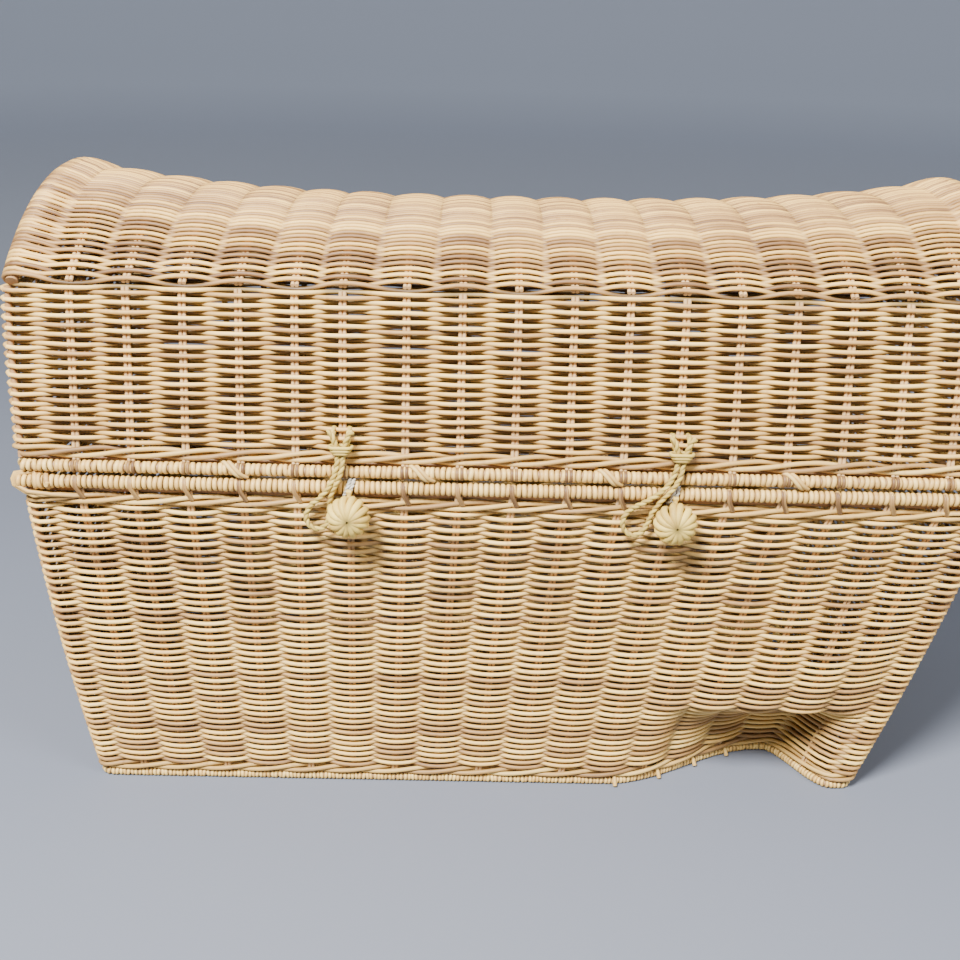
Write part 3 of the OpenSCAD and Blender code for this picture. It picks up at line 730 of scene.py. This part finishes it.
# a tongue's way over the band: out from the rim, along it, and up or down
TONGUE = ((1.5, -2.4, 4.3), (4.3, -2.2, 2.6), (5.1, -2.0, -0.5), (4.7, -1.6, -3.6),
          (3.6, -0.6, -6.4), (2.6, 0.8, -9.4), (1.0, 2.2, -13.0))
tongue_tones = random.Random(5)
tongues = []
for u in STAKE_PAIRS:
    rim_at = body_wall(np.array([float(u)]), np.array([BODY_H]))[0]
    on_long = u < CORNERS[1] or CORNERS[2] < u < CORNERS[3]
    out = np.sign(rim_at - (RACK, 0, 0)) * ((0, 1, 0) if on_long else (1, 0, 0))
    along = np.cross((0, 0, 1), out)
    for shift in (0.0, 1.5):
        tongues.append(strand(
            [rim_at + out * o + along * (a + shift) + (0, 0, h) for o, a, h in TONGUE],
            tone=tongue_tones.uniform(0.05, 0.35), girth=(0.7, 1, 1, 1, 1, 0.9, 0.7),
        ))
stake_tongues = lay_cane("stake_tongues", tongues, woven_finish, 2.5, uneven=0.05)
settle(stake_tongues, "trunk")

# ---------------- body rim
# Four brown rods, the long ones running past the ends, wound close with split cane.
# The corners are tied with wider turns and with canes that loop round the rod's end.

RIM_D, LID_RIM_D, RIM_HALF_L, RIM_HALF_D = 11.0, 10.0, 380.0, 194.0
refinish(core_finish, "body_rim_rods")


def rim_lines(z, across, past):
    """The four rods of a rim; the long ones run past the short ones at each end."""
    short = RIM_HALF_D - across / 2 - 0.1
    x0, x1 = RACK - RIM_HALF_L, RACK + RIM_HALF_L
    return [
        strand([(x0 - past, -RIM_HALF_D, z), (x1 + past, -RIM_HALF_D, z)]),
        strand([(x0 - past, RIM_HALF_D, z), (x1 + past, RIM_HALF_D, z)]),
        strand([(x0, -short, z), (x0, short, z)]),
        strand([(x1, -short, z), (x1, short, z)]),
    ]


rim_turns = wind("rim_turns", rim_lines(BODY_H, RIM_D, 3.0), bound_finish, RIM_D, thick=3.1,
                 lean=0.06, tone=0.62, seed=41)
settle(rim_turns, "trunk", ["body_rim_binding"])

corner_turns = wind("corner_turns", [
    strand([(RACK + sx * (RIM_HALF_L - 14) + end, sy * RIM_HALF_D, BODY_H) for end in (-4.6, 4.6)])
    for sx in (-1, 1) for sy in (-1, 1)
], woven_finish, RIM_D + 3.2, thick=2.4, lean=0.22, tone=0.35, seed=9, pitch=4.4, uneven=0.08)
settle(corner_turns, "trunk", ["body_rim_lashings"])

loop_tones = random.Random(17)
corner_loops = []
for sx in (-1, 1):
    for sy in (-1, 1):
        for i in range(3):
            end = RACK + sx * (RIM_HALF_L + 1.5 + 1.6 * i)
            start = RACK + sx * (RIM_HALF_L - 34 + 7 * i)
            y = sy * (RIM_HALF_D + 1.2)
            corner_loops.append(strand([
                (start - sx * 16, sy * (RIM_HALF_D - 3.0), 287.5),
                (start - sx * 4, sy * (RIM_HALF_D + 1.6), 288.6 + 0.4 * i),
                (start + sx * 12, sy * (RIM_HALF_D + 4.6), 290.6 - 0.8 * i),
                (end - sx * 6, y + sy * (4.6 - i), 293.0 - 0.5 * i),
                (end + sx * 3.0, y + sy * (1.5 - i), 296.5),
                (end + sx * 4.2, y - sy * 1.0 * i, 301.0),
                (end + sx * 2.2, y - sy * (1.0 + i), 305.4),
                (end - sx * 7, y - sy * (1.5 + i), 306.8),
                (end - sx * 17, y - sy * (2.0 + i), 306.2),
            ], tone=loop_tones.uniform(0.3, 0.75)))
# one cut end stands out of the wide turns at the left of the front
corner_loops.append(strand([(RACK - RIM_HALF_L + 20.5, -RIM_HALF_D - 2, 300.5),
                            (RACK - RIM_HALF_L + 20.0, -RIM_HALF_D - 9.5, 300.0)], tone=0.85))
corner_canes = lay_cane("corner_canes", corner_loops, woven_finish, 3.3, uneven=0.2, sides=8)
settle(corner_canes, "trunk")

# ---------------- lid rim
# A lighter pair of rods like the body's, wound the same way. A brown tongue of each
# stake is hooked over it, and here and there a cane crosses the turns aslant.

LID_Z, BAND_H, SHOULDER_IN = 313.0, 135.0, 22.0
LID_END_OUT, LID_END_LEAN = 4.0, 3.5
lid_rods = lay_cane("lid_rods", rim_lines(LID_Z, LID_RIM_D, -2.5), core_finish, 7.0, uneven=0,
                    sides=12)
settle(lid_rods, "lid", ["lid_rim_rods"])
lid_turns = wind("lid_turns", rim_lines(LID_Z, LID_RIM_D, -2.0), bound_finish, LID_RIM_D,
                 thick=2.6, lean=0.17, tone=0.68, seed=57, uneven=0.05)
settle(lid_turns, "lid", ["lid_rim_binding"])


def pushed_over(u):
    """The sixth pair on the front was pushed over to let the closure through."""
    return 6 * np.exp(-(((u - 6) / 0.6) ** 2))


def lid_wall(u, z):
    inward = SHOULDER_IN * np.clip((z - LID_Z) / BAND_H, 0, 1)
    x, y, _ = oblong(u, RIM_HALF_L, RIM_HALF_D - inward)
    x = x - pushed_over(u)
    # the ends lean out until they meet the hoops
    lean = LID_END_OUT + LID_END_LEAN * ease((z - 322) / 90)
    x = x + np.sign(x) * near_ends(x, RIM_HALF_L) * lean
    return np.stack([RACK + x, y, z + 0 * x], -1)


HOOK_R, CROSS_R = 3.9, 5.9
hook_tones = random.Random(23)
hooks = []
for u in STAKE_PAIRS:
    base = lid_wall(np.array([float(u)]), np.array([LID_Z]))[0]
    out, _ = facing(lid_wall, np.array([float(u)]), np.array([LID_Z + 5]))
    out = np.array([out[0][0], out[0][1], 0]) / np.linalg.norm(out[0][:2])
    along = np.cross(out, (0, 0, 1))
    for shift in (-1.8, 1.8):
        hooks.append(strand([
            base + out * HOOK_R * math.cos(a) + np.array([0, 0, HOOK_R * math.sin(a)])
            - along * shift for a in np.radians(np.arange(110, -120, -23))
        ], tone=hook_tones.uniform(0.0, 0.22), girth=1.08))
# the canes that cross aslant, in pairs, from behind the rod round to under it
arc = np.radians(np.array([150, 110, 75, 45, 15, -15, -45, -75]))
for x in (-217.4, -73.2, 72.5, 217.4):
    for side in (-1, 1):
        hooks.append(strand([
            (RACK + x + side * 2 - 9 + 2.6 * i,
             -RIM_HALF_D - CROSS_R * math.cos(a), LID_Z + CROSS_R * math.sin(a))
            for i, a in enumerate(arc)
        ], tone=0.85 - 0.1 * side, girth=0.95))
lid_hooks = lay_cane("lid_hooks", hooks, woven_finish, 3.2, uneven=0.05, sides=8)
settle(lid_hooks, "lid")

# ---------------- lid band
# Twined over the rim, then woven like the body up to the shoulder, with rows that
# stand a little open so that the stake pairs show between them.

twine("lid_twining", "lid", "lid_waling", lid_wall, 324.2, 3.6, 3.2, (0.5, 0.7, 0.4),
      start=0.1, uneven=0.4, seed=19)
run_inside("lid_inside_rod", "lid", lid_wall, 318.0)

refinish(stake_finish, "lid_front_stakes", "lid_back_stakes", "lid_dome_ribs")

SHOULDER_HALF, DOME_Z, RISE, HOOP_D = 172.0, 451.0, 62.0, 9.0
END_RISE_R = (SHOULDER_HALF**2 + RISE**2) / (2 * RISE)


def gable_x(sx, z):
    """Where a gable stands at a height: it leans back in towards its hoop."""
    return RACK + sx * (RIM_HALF_L + (LID_END_OUT + LID_END_LEAN) * (1 - ease((z - 449) / 30)))


def up_the_gable(foot, k):
    """The top of an end stake, up to the hoop."""
    sx = 1 if foot[0] > RACK else -1
    y = (-1 + k / MID_SHORT) * SHOULDER_HALF * sx
    high = DOME_Z + RISE - END_RISE_R + math.sqrt(END_RISE_R**2 - y * y) - HOOP_D / 2 - 1.5
    return np.array([(gable_x(sx, z), y, z) for z in np.linspace(452, max(high, 454), 4)])


end_stakes("lid", "lid", lid_wall, (318.2, 345, 372, 398, 422, 447), up_the_gable)
lid_rows = rows_round(lid_wall, 332.0, 448.0, 3.5, 47, (0.3, 0.95))
weave_walls("lid", "lid", lid_rows, bow=-0.2, uneven=0.75, seed=6.0)

# ---------------- dome
# The lid's stakes bend over as ribs, and the rows are beaten down close. Each row
# ends in a turn round the hoop that stiffens the end. The middle has sagged.

SAG, DOME_ARC = 24.0, 373.0
DOME_CANE, DOME_ROW, DOME_DEPTH = 3.55, 3.42, 3.3
refinish(core_finish, "lid_hoops")


def dome_top(x, v):
    """A point of the dome: x from the lid's middle, v from -1 at the front to 1 behind."""
    rise = RISE - SAG * (1 - np.abs(x / RIM_HALF_L) ** 2.8)
    radius = (SHOULDER_HALF**2 + rise**2) / (2 * rise)
    angle = np.arcsin(SHOULDER_HALF / radius) * v
    return np.stack([RACK + x, radius * np.sin(angle),
                     DOME_Z + rise - radius + radius * np.cos(angle)], -1)


TURN_IN, TURN_R = np.radians((15, 45, 80, 115, 150)), 6.2


def pad(along):
    """Repeats a row's first and last values for the points of its two turns."""
    return np.concatenate([np.repeat(along[:1], len(TURN_IN), 0), along,
                           np.repeat(along[-1:], len(TURN_IN), 0)])


dome_draws = random.Random(71)
dome_strands = []
dome_count = int(DOME_ARC / DOME_ROW)
u = np.linspace(0, STAKES_LONG, STAKES_LONG * STAKE_STEPS + 1)
x_of_u = (-1 + u / MID_LONG) * (RIM_HALF_L - 3) - pushed_over(u)
for row in range(dome_count + 1):
    s = -1 + 2 * row / dome_count
    # the rows stand open near the shoulders and close up towards the top
    v = np.full_like(u, 0.985 * (s + 0.16 * (s**3 - s)))
    mid = dome_top(x_of_u, v)
    out, up = facing(dome_top, x_of_u, v, 0.5, 0.002)
    lift = over_under(u, row)
    # both ends stand out to meet their hoops
    for end in (slice(0, 4), slice(-4, None)):
        near = np.clip(1 - np.minimum(u[end], STAKES_LONG - u[end]) / 0.6, 0, 1)
        lift[end] = lift[end] * (1 - near) + 1.85 * near
    ends = []
    for sx, at in ((-1, 0), (1, -1)):
        hoop = dome_top(np.array([sx * RIM_HALF_L]), v[:1])[0]
        # on round the hoop and down inside the gable
        ends.append([hoop + TURN_R * (out[at] * math.cos(a) + np.array([sx, 0, 0]) * math.sin(a))
                     for a in TURN_IN])
    points = np.concatenate([ends[0][::-1], mid, ends[1]])
    still = np.zeros(len(TURN_IN))
    # the dome's lengths take darker tones than the walls': painted shade that holds back the extra
    # light the dome gets from the key lamp
    dome_strands.append(strand(points, pad(out), pad(up), np.concatenate([still, lift, still]),
                               dome_draws.uniform(0.08, 0.7)))
dome = lay_cane("lid_dome", dome_strands, woven_finish, DOME_CANE, depth=DOME_DEPTH, bow=0.25,
                uneven=0.3, sides=6, seed=12.0)
settle(dome, "lid", ["lid_dome_weave"])

# ---------------- gables
# The half-moon at each end of the lid, woven across the end stakes between the hoop
# and the band.

GABLE_FROM, GABLE_ROW = 451.5, 3.6
for sx, side in ((-1, "left"), (1, "right")):
    gable_draws = random.Random(83 + sx)
    rows = []
    z = GABLE_FROM
    while z < DOME_Z + RISE - 9:
        reach = math.sqrt((END_RISE_R - 6) ** 2 - (z - DOME_Z - RISE + END_RISE_R) ** 2)
        half = reach / SHOULDER_HALF * MID_SHORT
        u = np.linspace(-half, half, max(8, int(half * 2 * STAKE_STEPS)))
        rows.append(strand(
            np.stack([0 * u + gable_x(sx, z), u / MID_SHORT * SHOULDER_HALF, 0 * u + z], -1),
            out=(sx, 0, 0), up=(0, 0, 1), lift=over_under(u + 0.5, len(rows)),
            tone=gable_draws.uniform(0.2, 0.9)))
        z = z + GABLE_ROW
    gable = lay_cane("gable_" + side, rows, woven_finish, WALL_CANE, depth=WALL_DEPTH, uneven=0.3,
                     sides=6, seed=4.0 + sx)
    settle(gable, "lid", ["lid_" + side + "_gable"])

# ---------------- hinge lashings
# Five turns of thin cane round both back rims at each of three places. They hold the
# lid, and turn on the body's rim with it.

LASH_R, LASH_TURNS, LASH_PITCH = 7.0, 5, 2.8
half_turn = np.linspace(-math.pi / 2, math.pi / 2, 13)
lashings = []
for k in (2.5, 8.5, 14.5):
    for turn in range(LASH_TURNS):
        x = RACK + (-1 + k / MID_LONG) * RIM_HALF_L + LASH_PITCH * (turn - LASH_TURNS // 2)
        low = [(x, RIM_HALF_D + LASH_R * math.sin(a), BODY_H - LASH_R * math.cos(a))
               for a in half_turn]
        high = [(x + 1.0, RIM_HALF_D - LASH_R * math.sin(a),
                 LID_Z - 1.0 + (LASH_R - 0.9) * math.cos(a)) for a in half_turn]
        lashings.append(strand(low + high, tone=0.5 + 0.07 * turn, ring=True))
hinge_turns = lay_cane("hinge_turns", lashings, bound_finish, 2.6, uneven=0.05, sides=8)
settle(hinge_turns, "lid", ["hinge_lashings"])

# ---------------- closure loops
# A limp twisted cord is doubled round a pair of lid stakes, held by a wound collar,
# and hangs down in front of the rims as a loop for the knot button.

CORD_TONES = [(0.14, 0.08, 0.018), (0.42, 0.27, 0.058), (0.62, 0.43, 0.09), (0.76, 0.55, 0.125)]
cord_finish = cane_finish("twisted seagrass cord", CORD_TONES, grain=0.2, rough=(0.55, 0.75))
# a loop's legs, out through the weave and down; each loop's own way below them
LEG = [(-6, -187, 346.5), (-6, -194.5, 346.5), (-6, -200, 344), (-5, -202.5, 339),
       (-2.3, -203, 331)]
HANGING = {
    "left": (RACK - 133.0, [
        (-3, -204, 322), (-6, -204.5, 311), (-10.5, -204.5, 302), (-17, -203.5, 294),
        (-24, -201, 287), (-28, -200.4, 279), (-26.5, -200.4, 271), (-20, -200.4, 267),
        (-13, -200.4, 270), (-10, -200.4, 278), (-9.5, -200.8, 288), (-7.5, -203, 298),
        (-3, -204.5, 308), (0.5, -204.5, 318)]),
    "right": (RACK + 127.0, [
        (-4, -204, 322), (-9, -204.5, 311), (-18, -204.5, 302), (-28, -203.5, 295),
        (-36, -201, 289), (-41, -200.4, 281), (-40, -200.4, 272), (-33, -200.4, 267),
        (-26, -200.4, 270), (-21.5, -200.4, 278), (-18, -200.8, 288), (-12.5, -203, 298),
        (-5, -204.5, 308), (0, -204.5, 318)]),
}


def smooth_route(points, steps=8):
    """A smooth line through the points of a route."""
    before = 2 * np.array(points[0]) - points[1]
    after = 2 * np.array(points[-1]) - points[-2]
    p = np.array([before, *points, after], float)
    line = []
    for i in range(1, len(p) - 2):
        for t in np.arange(steps) / steps:
            a, b, c, d = p[i - 1:i + 3]
            line.append(0.5 * (2 * b + (c - a) * t + (2 * a - 5 * b + 4 * c - d) * t**2
                               + (3 * b - a - 3 * c + d) * t**3))
    return np.array([*line, p[-2]])


def plies(line, offset, lay, tones):
    """The plies of a twisted cord: lines that wind round its middle line."""
    along = np.gradient(line, axis=0)
    along /= np.linalg.norm(along, axis=1, keepdims=True)
    run = np.concatenate([[0], np.cumsum(np.linalg.norm(np.diff(line, axis=0), axis=1))])
    side = np.cross(along, (0.05, 1.0, 0.02))
    side /= np.linalg.norm(side, axis=1, keepdims=True)
    over = np.cross(along, side)
    made = []
    for i, tone in enumerate(tones):
        turn = 2 * np.pi * (run / lay + i / len(tones))
        aside = side * np.cos(turn)[:, None] + over * np.sin(turn)[:, None]
        made.append(strand(line + offset * aside, tone=tone))
    return made


for side, (middle, below) in HANGING.items():
    route = LEG + below + [(-x, y, z) for x, y, z in reversed(LEG)]
    route = smooth_route([(middle + x, y, z) for x, y, z in route])
    loop = lay_cane(side + "_cord_loop", plies(route, 0.85, 11.0, (0.5, 0.8)), cord_finish, 2.9,
                    uneven=0.05, sides=8)
    settle(loop, "lid", [side + "_loop"])

    # the collar: three turns round both legs, wider towards the top
    collar = []
    bend = np.linspace(-math.pi / 2, math.pi / 2, 9)
    for z, half, deep, tone in (
            (331.4, 2.6, 3.0, 0.5), (333.6, 3.7, 3.3, 0.65), (336.2, 5.2, 3.6, 0.8)):
        collar.append(strand(
            [(middle + sx * (half + deep * math.cos(a)), -203 + sx * deep * math.sin(a), z)
             for sx in (1, -1) for a in bend], tone=tone, ring=True))
    # the legs' cut ends splay out over the weave
    for sx in (-1, 1):
        leg = smooth_route([
            (middle + sx * 2.6, -203.6, 335), (middle + sx * 4.0, -204.4, 340),
            (middle + sx * 5.4, -204.8, 344.4), (middle + sx * 7.4, -204.4, 347.6),
            (middle + sx * 9.6, -203.4, 348.4)], steps=4)
        for ply in plies(leg, 0.8, 11.0, (0.55, 0.8)):
            ply["girth"] = np.linspace(0.95, 1.3, len(leg))
            collar.append(ply)
    collar = lay_cane(side + "_collar_turns", collar, cord_finish, 2.8, uneven=0.05, sides=8)
    settle(collar, "lid", [side + "_loop_collar"])

# ---------------- knot buttons
# A flattened ball knot of wound cord hangs on a short neck from the body's rim, tied
# there with thin pale cord that passes twice round the rim.

BUTTON_W, BUTTON_T, BUTTON_Y, BUTTON_Z = 34.0, 26.0, -211.5, 282.0
button_draws = random.Random(91)
THREAD_TONES = [(0.40, 0.36, 0.28), (0.56, 0.51, 0.41), (0.68, 0.63, 0.51)]
thread_finish = cane_finish("pale cotton thread", THREAD_TONES, rough=(0.75, 0.9), fleck=0.02)
KNOT_RIBS, RIB_IN = 14, 2.6
polar = np.radians(np.array([4, 18, 35, 55, 75, 90, 105, 125, 145, 162, 176]))
inner = np.linspace(-9, 9, 13)
tie_bend, tie_r = np.radians(np.linspace(-185, 185, 61)), RIM_D / 2 + 1.1
for side, button_x in (("left", RACK - 127.0), ("right", RACK + 125.0)):
    ribs = []
    for i in range(KNOT_RIBS):
        start = 2 * math.pi * (i + button_draws.uniform(-0.12, 0.12)) / KNOT_RIBS
        swirl = start + 0.16 * np.cos(polar)
        wide = (BUTTON_W / 2 - RIB_IN) * np.sin(polar)
        dimple = 1 - 0.16 * np.exp(-((polar / 0.5) ** 2))
        deep = (BUTTON_T / 2 - RIB_IN) * np.cos(polar) * dimple
        # lift sets only painted shade here: the ribs are painted darker in the dimple at the front,
        # where they meet
        ribs.append(strand(
            np.stack([button_x + wide * np.cos(swirl), BUTTON_Y - deep,
                      BUTTON_Z + wide * np.sin(swirl)], -1),
            tone=button_draws.uniform(0.45, 0.85), girth=0.05 + 0.80 * np.sin(polar),
            lift=0.35 - 1.1 * np.exp(-((polar / 0.3) ** 2))))
    # a ball of the same cord inside, seen only between the ribs, given the darkest tone and full
    # painted shade so that the grooves read dark
    ribs.append(strand(np.stack([button_x + 0 * inner, BUTTON_Y + inner, BUTTON_Z + 0 * inner], -1),
                       tone=0.0, lift=-1.0, girth=4.4 * np.sqrt(1 - (inner / 9.5) ** 2)))
    ball = lay_cane(side + "_knot", ribs, cord_finish, 5.8, uneven=0.05, sides=12)
    settle(ball, side + "_button", [side + "_button"])
    refinish(cane_finish(side + " neck cord", CORD_TONES, laid=False), side + "_button_neck")
    # both passes of the tie lie a little aslant
    tied = []
    for left in (-2.2, 0.9):
        pass_round = np.stack([button_x + left + 2.4 * np.sin(tie_bend),
                               -RIM_HALF_D - tie_r * np.cos(tie_bend),
                               BODY_H + tie_r * np.sin(tie_bend)], -1)
        tied += plies(pass_round, 0.75, 6.5, (0.5, 0.8))
    tie = lay_cane(side + "_tie_turns", tied, thread_finish, 1.9, uneven=0.05, sides=8)
    settle(tie, "trunk", [side + "_button_tie"])
